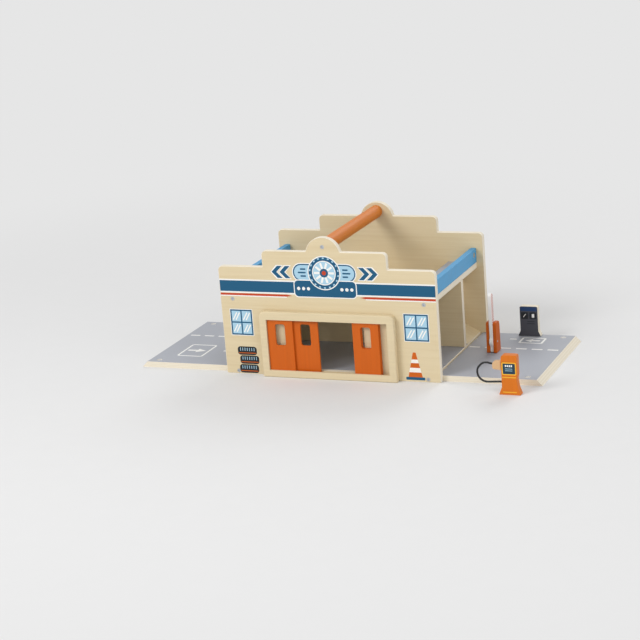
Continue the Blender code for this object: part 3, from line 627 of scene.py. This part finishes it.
class GARAGE_OT_stripes(bpy.types.Operator):
    """The blue band and the red stripe across both facades"""

    bl_idname = "garage.stripes"
    bl_label = "Facade stripes"

    def execute(self, context):
        size = sizes()
        margin, white_line = 0.9, 1.6
        reach = FACADE_HIGH.x - margin
        low, high = in_mm(size.band_low), in_mm(size.band_high)
        rim = in_mm(size.band_rim)
        thin_low, thin_high = in_mm(size.stripe_low), in_mm(size.stripe_high)
        for place, face, inner, tip in (("front", FRONT, 64.0, 55.0), ("back", BACK, 0.1, 0.0)):
            white = [bar(-reach, reach, low - rim, high + rim)]
            red = []
            for side in (-1, 1):
                ends = sorted((side * inner, side * reach))
                white.append(bar(*ends, thin_low - white_line, thin_low))
                middle = (thin_low + thin_high) / 2
                red.append(
                    shape(
                        (side * reach, thin_low),
                        (side * inner, thin_low),
                        (side * tip, middle),
                        (side * inner, thin_high),
                        (side * reach, thin_high),
                    )
                )
            printed(f"{place}_band_rim", "white", 1, white, face)
            printed(f"{place}_band", "blue", 2, [bar(-reach, reach, low, high)], face)
            printed(f"{place}_stripe", "red", 1, red, face)
        return {"FINISHED"}


def chevron(side, start, height, grow):
    """An arrow head that points outwards to that side, or its rim, which is larger all round."""
    rise, width = 9.5, 8.0
    # The slanted sides move out farther than the level ones, so that the rim keeps its width.
    along = grow * 1.4
    reach, inner = rise + grow, start - along
    outer = start + width + along
    return shape(
        (side * inner, height + reach),
        (side * outer, height + reach),
        (side * (outer + rise), height),
        (side * outer, height - reach),
        (side * inner, height - reach),
        (side * (inner + rise), height),
    )


class GARAGE_OT_badge(bpy.types.Operator):
    """A road wheel badge on a long round-ended sign, between arrow heads, on the front facade"""

    bl_idname = "garage.badge"
    bl_label = "Facade badge"

    def execute(self, context):
        size = sizes()
        middle, radius = in_mm(size.badge_height), in_mm(size.badge_radius)
        length, tall = 104.0, 30.0
        sign = (("rim", "white", 3, 0.0), ("line", "blue", 4, 3.0), ("ground", "pale_blue", 5, 6.8))
        for name, ink, layer, less in sign:
            wide, high = length - less, tall - less
            printed(f"sign_{name}", ink, layer, [patch(0, middle, wide, high, corner=high / 2 - 0.1)], FRONT)
        speed, nearest, line_width = [], 29.5, 2.4
        for side in (-1, 1):
            for rise, reach in ((5.4, 9.0), (0.0, 13.0), (-5.4, 9.0)):
                x = side * (nearest + reach / 2)
                speed.append(patch(x, middle + rise, reach, line_width, corner=1.1))
        printed("sign_speed_lines", "blue", 6, speed, FRONT)

        low, high = in_mm(size.stripe_low) + 1.2, in_mm(size.band_high) + 2.8
        level, tall = (low + high) / 2, high - low
        wide, corner, rim = 99.0, 6.0, 1.5
        edge = patch(0, level, wide + 2 * rim, tall + 2 * rim, corner=corner + rim)
        printed("plaque_rim", "white", 7, [edge], FRONT)
        printed("plaque", "blue", 8, [patch(0, level, wide, tall, corner=corner)], FRONT)
        first, pitch, dot = 27.0, 8.0, 2.6
        dots = [disc(side * (first + pitch * k), level, dot, 32) for side in (-1, 1) for k in range(3)]
        printed("plaque_dots", "white", 9, dots, FRONT)

        rings = (
            ("badge_rim", "white", 9, radius),
            ("badge_tyre", "blue", 10, radius - 1.6),
            ("badge_wall", "white", 11, radius - 7.5),
            ("badge_ground", "pale_blue", 12, radius - 9.0),
        )
        for name, ink, layer, reach in rings:
            printed(name, ink, layer, [disc(0, middle, reach)], FRONT)
        spoke = (2 * radius - 21.0, 3.4)
        spokes = [patch(0, middle, *spoke, turn=turn) for turn in range(0, 180, 36)]
        printed("badge_spokes", "white", 13, spokes, FRONT)
        printed("badge_hub", "blue", 14, [disc(0, middle, 6.8)], FRONT)
        printed("badge_cap", "red", 15, [disc(0, middle, 3.4)], FRONT)
        blocks, count, circle = [], 18, radius - 3.4
        for k in range(count):
            angle = math.tau * k / count
            x, y = circle * math.sin(angle), middle + circle * math.cos(angle)
            blocks.append(patch(x, y, 3.0, 2.2, turn=-math.degrees(angle)))
        printed("badge_treads", "pale_blue", 11, blocks, FRONT)

        for name, ink, layer, grow in (("arrow_rims", "white", 1, 1.3), ("arrow_heads", "blue", 2, 0.0)):
            heads = [chevron(side, start, middle, grow) for side in (-1, 1) for start in (55.0, 68.0)]
            printed("badge_" + name, ink, layer, heads, FRONT)
        return {"FINISHED"}


class GARAGE_OT_windows(bpy.types.Operator):
    """Two printed windows with four panes each"""

    bl_idname = "garage.windows"
    bl_label = "Printed windows"

    def execute(self, context):
        rim_width, frame_width, glint = 0.9, 2.2, 2.0
        for name, left, right, low, high in (
            ("left", -160.7, -124.5, 62.5, 103.0),
            ("right", 121.8, 160.0, 63.5, 105.0),
        ):
            rim = bar(left - rim_width, right + rim_width, low - rim_width, high + rim_width)
            printed(f"window_{name}_rim", "white", 1, [rim], FRONT)
            printed(f"window_{name}_frame", "blue", 2, [bar(left, right, low, high)], FRONT)
            across = (right - left - 3 * frame_width) / 2
            upward = (high - low - 3 * frame_width) / 2
            panes, glints = [], []
            for column in (0, 1):
                for row in (0, 1):
                    x = left + frame_width + column * (across + frame_width)
                    y = low + frame_width + row * (upward + frame_width)
                    panes.append(bar(x, x + across, y, y + upward))
                    for shift in (-2.2, 2.4):
                        place = (x + across / 2 + shift, y + upward / 2)
                        glints.append(patch(*place, upward * 0.8, glint, turn=60))
            printed(f"window_{name}_panes", "pale_blue", 3, panes, FRONT)
            printed(f"window_{name}_glints", "white", 4, glints, FRONT)
        return {"FINISHED"}


class GARAGE_OT_motifs(bpy.types.Operator):
    """A stack of tyres and a road cone, low on the front facade"""

    bl_idname = "garage.motifs"
    bl_label = "Tyres and cone"

    def execute(self, context):
        middle, half, tall = -136.5, 16.0, 13.6
        lowest, gap = 1.6, 0.8
        tyres, walls, treads = [], [], []
        for k, shift in enumerate((0.0, 1.6, -1.2)):
            foot = lowest + k * (tall + gap)
            left, right = middle - half + shift, middle + half + shift
            tyres.append(bar(left, right, foot, foot + tall, corner=4.5))
            walls.append(bar(left + 1.4, right - 1.4, foot + 2.6, foot + 3.8, corner=0.5))
            for n in range(7):
                x = left + 4.6 + n * 3.8
                treads.append(bar(x - 0.55, x + 0.55, foot + 6.6, foot + 11.6))
        printed("tyre_stack", "black", 1, tyres, FRONT)
        printed("tyre_rings", "orange", 2, walls, FRONT)
        printed("tyre_treads", "pale_blue", 2, treads, FRONT)

        x, foot, top = 135.0, 3.0, 46.0
        base, wide, narrow = foot + 3.5, 11.5, 2.2
        cone = shape((x - wide, base), (x + wide, base), (x + narrow, top), (x - narrow, top))
        printed("cone_body", "orange", 1, [cone], FRONT)
        printed("cone_foot", "blue", 2, [bar(x - 15.0, x + 15.0, foot, foot + 4.5, corner=1.2)], FRONT)
        bands = []
        for low, high in ((15.0, 22.0), (29.5, 35.0)):
            taper = (wide - narrow) / (top - base)
            lower, upper = wide - taper * (low - base), wide - taper * (high - base)
            bands.append(shape((x - lower, low), (x + lower, low), (x + upper, high), (x - upper, high)))
        printed("cone_bands", "white", 2, bands, FRONT)
        return {"FINISHED"}


def arrow(x, y, reach, width, turn):
    """A flat arrow, drawn pointing up and then turned round its middle."""
    stem, head = width / 2, width * 1.5
    corners = [(-stem, -reach), (stem, -reach), (stem, 0), (head, 0), (0, reach), (-head, 0), (-stem, 0)]
    spin = Matrix.Rotation(math.radians(turn), 2)
    return shape(*[spin @ Vector(corner) + Vector((x, y)) for corner in corners])


class GARAGE_OT_road_marks(bpy.types.Operator):
    """White lines on the two road flaps"""

    bl_idname = "garage.road_marks"
    bl_label = "Road marks"

    def execute(self, context):
        size = sizes()
        dash, pitch, width = in_mm(size.dash), in_mm(size.dash_pitch), in_mm(size.mark)
        line_y = (PARTITION_LOW.y + PARTITION_HIGH.y) / 2
        top = ("top", BOARD)
        start = FLAP_LOW.x + 6.0
        for body, side in (("right_flap", 1), ("left_flap", -1)):
            dashes = []
            for k in range(6):
                ends = sorted((side * (start + k * pitch), side * (start + k * pitch + dash)))
                dashes.append(bar(*ends, line_y - width / 2, line_y + width / 2, corner=0.6))
            if side > 0:
                ticket_bay = (239.0, 278.0, 63.6, 93.3)
                short_dash = (221.0, 232.0, 80.4, 84.8)
                dashes.append(bar(*ticket_bay, corner=3.5, line=3.4))
                dashes.append(arrow(258.5, 78.4, 12.0, 5.4, 90))
                dashes.append(bar(*short_dash, corner=0.6))
            else:
                wash_bay = (-285.0, -240.0, -76.4, -14.4)
                dashes.append(bar(*wash_bay, corner=5.0, line=3.2))
                dashes.append(arrow(-262.5, -45.4, 16.0, 6.0, -90))
                dashes.append(arrow(-201.5, -41.9, 16.0, 5.0, -90))
            printed(f"{body}_marks", "white", 1, dashes, top, body)
        return {"FINISHED"}


class GARAGE_OT_terminal_screens(bpy.types.Operator):
    """Head band and two screens of the ticket terminal"""

    bl_idname = "garage.terminal_screens"
    bl_label = "Terminal screens"

    def execute(self, context):
        face = ("front", TERMINAL_LOW.y)
        middle = (TERMINAL_LOW.x + TERMINAL_HIGH.x) / 2
        top = TERMINAL_HIGH.z
        rider = "right_flap"
        band = patch(middle, top - 4.4, 26.4, 6.4, corner=0.8)
        printed("terminal_band", "navy", 1, [band], face, rider)
        screens, signs = [], []
        for x in (middle - 6.6, middle + 6.8):
            screens.append(bar(x - 5.6, x + 5.4, top - 20.5, top - 9.5, corner=1.0))
        signs.append(bar(middle - 10.0, middle - 3.6, top - 15.6, top - 14.6, 52))
        signs.append(bar(middle + 5.0, middle + 9.0, top - 18.0, top - 12.2, corner=0.8))
        printed("terminal_screens", "black", 1, screens, face, rider)
        printed("terminal_signs", "white", 2, signs, face, rider)
        slots = [bar(middle - 3.0, middle + 9.0, z, z + 0.9, corner=0.3) for z in (top - 25.0, top - 28.5)]
        printed("terminal_slots", "black", 1, slots, face, rider)
        return {"FINISHED"}


class GARAGE_OT_pump_screen(bpy.types.Operator):
    """Screen and yellow lines of the fuel pump"""

    bl_idname = "garage.pump_screen"
    bl_label = "Pump screen"

    def execute(self, context):
        face = ("front", PUMP_LOW.y)
        middle = (PUMP_LOW.x + PUMP_HIGH.x) / 2
        screen, wide, tall, border = (middle + 0.2, 39.7), 18.4, 15.8, 1.6
        rim = patch(*screen, wide + 2 * border, tall + 2 * border, corner=2.0)
        glass = patch(*screen, wide, tall, corner=1.0)
        printed("pump_screen_rim", "yellow", 1, [rim], face)
        printed("pump_screen", "teal", 2, [glass], face)
        digits = [patch(middle - 4.6 + k * 2.9, 44.0, 2.0, 2.8, corner=0.3) for k in range(4)]
        printed("pump_digits", "white", 3, digits, face)
        lines = [bar(middle - 5.6, middle + 5.2, z, z + 0.8) for z in (39.2, 36.4)]
        printed("pump_lines", "pale_blue", 3, lines, face)
        reach, line = 10.4, 1.4
        trims = [bar(middle - reach, middle + reach, z, z + line, corner=0.4) for z in (26.0, 3.6)]
        printed("pump_trims", "yellow", 1, trims, face)
        return {"FINISHED"}


class GARAGE_OT_brushes(bpy.types.Operator):
    """Wash brushes, each a stack of round-edged felt discs"""

    bl_idname = "garage.brushes"
    bl_label = "Wash brushes"

    def execute(self, context):
        low, high = node_box("wash_brush_front")
        count, inset = sizes().discs, 0.3
        pitch = (high.z - low.z) / count
        thickness, rounding = pitch * 0.94, pitch * 0.3
        radius = (high.x - low.x) / 2 - inset
        start = Vector(((low.x + high.x) / 2, (low.y + high.y) / 2, low.z + pitch / 2))
        clear_selection()
        bpy.ops.mesh.primitive_cylinder_add(
            vertices=48, radius=radius * MM, depth=thickness * MM, location=start * MM
        )
        front = context.object
        edit_all(front)
        bpy.ops.mesh.bevel(offset=rounding * MM, segments=3, affect="EDGES", profile=0.6)
        leave_edit()
        settle()
        stack = front.modifiers.new("Stack", "ARRAY")
        stack.count = count
        stack.use_relative_offset = False
        stack.use_constant_offset = True
        stack.constant_offset_displace = (0, 0, pitch * MM)
        bpy.ops.object.modifier_apply(modifier=stack.name)
        bpy.ops.object.shade_smooth_by_angle(angle=math.radians(40))
        front.data.materials.append(pressed_felt("white_pressed_felt", colours().felt))

        only(front)
        bpy.ops.object.duplicate()
        back = context.object
        back.location = (node_box("wash_brush_back")[0] - low) * MM
        settle()
        for place, brush in (("front", front), ("back", back)):
            brush.name = f"felt_brush_{place}"
            brush.data.name = brush.name
            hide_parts("wash_brush_" + place)
            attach(brush, place + "_brush")
        return {"FINISHED"}


def hose_route():
    """The loop of the hose from the pump's side round to the nozzle, in the pump's middle plane."""
    pump_side = NOZZLE_HIGH.x + 0.3
    left = NOZZLE_LOW.x
    top = (NOZZLE_LOW.z + NOZZLE_HIGH.z) / 2 + 1.0
    foot = 18.0
    return [
        (pump_side + 3.0, foot),
        (pump_side - 4.5, foot),
        (left + 1.5, top - 26.9),
        (left - 5.5, top - 27.4),
        (left - 12.5, top - 27.2),
        (left - 19.0, top - 24.0),
        (left - 21.6, top - 21.2),
        (left - 23.3, top - 18.0),
        (left - 24.0, top - 11.0),
        (left - 23.1, top - 7.5),
        (left - 21.0, top - 4.5),
        (left - 15.5, top + 0.4),
        (left - 9.0, top + 1.7),
        (left - 3.0, top + 0.6),
        (left + 3.0, top),
    ]


class GARAGE_OT_hose(bpy.types.Operator):
    """The black hose of the fuel pump"""

    bl_idname = "garage.hose"
    bl_label = "Fuel hose"

    def execute(self, context):
        middle = (PUMP_LOW.y + PUMP_HIGH.y) / 2
        route = [Vector((x, middle, z)) * MM for x, z in hose_route()]
        line = bpy.data.curves.new("pump_hose", "CURVE")
        line.dimensions = "3D"
        line.bevel_depth = HOSE_RADIUS * MM
        line.bevel_resolution = 4
        line.resolution_u = 6
        line.use_fill_caps = True
        spline = line.splines.new("BEZIER")
        spline.bezier_points.add(len(route) - 1)
        for point, place in zip(spline.bezier_points, route):
            point.co = place
            point.handle_left_type = "AUTO"
            point.handle_right_type = "AUTO"
        hose = bpy.data.objects.new("pump_hose", line)
        context.scene.collection.objects.link(hose)
        line.materials.append(moulded_rubber("black_rubber_hose", colours().rubber))
        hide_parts("fuel_hose")
        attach(hose, "garage")
        return {"FINISHED"}


def aimed(place, target):
    """A matrix at a place that looks at a target."""
    forward = (Vector(target) - Vector(place)).normalized()
    return Matrix.Translation(place) @ forward.to_track_quat("-Z", "Y").to_matrix().to_4x4()


def seen_ray(tree):
    """1 for what the camera sees straight, in a gloss or through glass, and 0 for the light itself."""
    path = add(tree, "LightPath")
    total = path.outputs["Is Camera Ray"]
    for kind in ("Is Glossy Ray", "Is Transmission Ray"):
        total = add(tree, "Math", {0: total, 1: path.outputs[kind]}, operation="MAXIMUM").outputs[0]
    return total


class GARAGE_OT_stage(bpy.types.Operator):
    """Pale floor, soft lights and the camera of the photograph"""

    bl_idname = "garage.stage"
    bl_label = "Studio"

    def execute(self, context):
        # Metres, from the garage: where the floor starts to fade, and where it is plain.
        near, plain_from = 0.5, 1.6
        clear_selection()
        bpy.ops.mesh.primitive_plane_add(size=60, location=(0, 15, 0))
        floor = context.object
        settle()
        floor.name = "studio_floor"
        paper, tree, shader = new_finish("matt_studio_floor", 0.85)
        source = add(tree, "TexCoord")
        mottle = add(tree, "TexNoise", {"Vector": source.outputs["Object"], "Scale": 30.0, "Detail": 3.0})
        pale = colours().floor
        link(tree, uneven(tree, pale, mottle.outputs["Fac"], 0.99, 1.01), shader, "Base Color")
        far = add(tree, "VectorMath", {0: source.outputs["Object"]}, operation="LENGTH")
        fade = add(
            tree, "MapRange", {"Value": far.outputs[1], "From Min": near, "From Max": plain_from},
            interpolation_type="SMOOTHSTEP",
        )
        share = add(tree, "Math", {0: fade.outputs[0], 1: seen_ray(tree)}, operation="MULTIPLY")
        plain = add(tree, "Emission", {"Color": pale})
        blend = add(tree, "MixShader", {0: share.outputs[0], 1: shader.outputs[0], 2: plain.outputs[0]})
        tree.links.new(blend.outputs[0], tree.nodes["Material Output"].inputs["Surface"])
        floor.data.materials.append(paper)

        middle = (0.02, 0.0, 0.08)
        lamps = (
            ("key_light", (-1.6, -2.4, 2.2), 1.6, 56.0),
            ("fill_light", (2.4, -1.6, 1.5), 2.0, 22.0),
            ("back_light", (0.6, 2.4, 2.2), 1.8, 26.0),
        )
        for name, place, size, power in lamps:
            bpy.ops.object.light_add(type="AREA", location=place)
            lamp = context.object
            lamp.name = name
            lamp.matrix_world = aimed(place, middle)
            lamp.data.shape = "DISK"
            lamp.data.size = size
            lamp.data.energy = power

        world = bpy.data.worlds.new("studio")
        context.scene.world = world
        world.use_nodes = True
        tree = world.node_tree
        light = tree.nodes["Background"]
        light.inputs["Color"].default_value = (1, 1, 1, 1)
        light.inputs["Strength"].default_value = 0.5
        backdrop = add(tree, "Background", {"Color": pale})
        blend = add(tree, "MixShader", {0: seen_ray(tree), 1: light.outputs[0], 2: backdrop.outputs[0]})
        tree.links.new(blend.outputs[0], tree.nodes["World Output"].inputs["Surface"])
        context.scene.view_settings.view_transform = "Standard"

        place, focal_length = (1.0657, -2.6417, 0.8646), 106.28
        azimuth, elevation, roll = (math.radians(angle) for angle in (-23.16, 15.76, -4.50))
        flat = math.cos(elevation)
        ahead = Vector((math.sin(azimuth) * flat, math.cos(azimuth) * flat, -math.sin(elevation)))
        level_right = Vector((math.cos(azimuth), -math.sin(azimuth), 0))
        level_up = level_right.cross(ahead)
        right = level_right * math.cos(roll) + level_up * math.sin(roll)
        up = level_up * math.cos(roll) - level_right * math.sin(roll)
        columns = Matrix((right, up, -ahead)).transposed().to_4x4()
        bpy.ops.object.camera_add()
        camera = context.object
        camera.name = "photo_camera"
        camera.matrix_world = Matrix.Translation(place) @ columns
        camera.data.sensor_width = 36.0
        camera.data.lens = focal_length
        camera.data.clip_end = 100.0
        context.scene.camera = camera
        return {"FINISHED"}


STEPS = (
    GARAGE_OT_boards,
    GARAGE_OT_solid_wood,
    GARAGE_OT_painted,
    GARAGE_OT_lacquered,
    GARAGE_OT_hardware,
    GARAGE_OT_inks,
    GARAGE_OT_stripes,
    GARAGE_OT_badge,
    GARAGE_OT_windows,
    GARAGE_OT_motifs,
    GARAGE_OT_road_marks,
    GARAGE_OT_terminal_screens,
    GARAGE_OT_pump_screen,
    GARAGE_OT_brushes,
    GARAGE_OT_hose,
    GARAGE_OT_stage,
)


class GARAGE_PT_panel(bpy.types.Panel):
    """Lists the steps that dress the garage"""

    bl_idname = "GARAGE_PT_panel"
    bl_label = "Toy garage"
    bl_space_type = "VIEW_3D"
    bl_region_type = "UI"
    bl_category = "Toy garage"

    def draw(self, context):
        column = self.layout.column(align=True)
        for step in STEPS:
            column.operator(step.bl_idname)
        for group in (context.scene.garage_colours, context.scene.garage_sizes):
            for setting in group.bl_rna.properties:
                if not setting.is_readonly and setting.identifier != "name":
                    column.prop(group, setting.identifier)


CLASSES = (GarageColours, GarageSizes, *STEPS, GARAGE_PT_panel)


def register():
    for item in CLASSES:
        bpy.utils.register_class(item)
    bpy.types.Scene.garage_colours = PointerProperty(type=GarageColours)
    bpy.types.Scene.garage_sizes = PointerProperty(type=GarageSizes)


def unregister():
    del bpy.types.Scene.garage_sizes
    del bpy.types.Scene.garage_colours
    for item in reversed(CLASSES):
        bpy.utils.unregister_class(item)


def main():
    register()
    for step in STEPS:
        group, action = step.bl_idname.split(".")
        getattr(getattr(bpy.ops, group), action)()


if __name__ == "__main__":
    main()
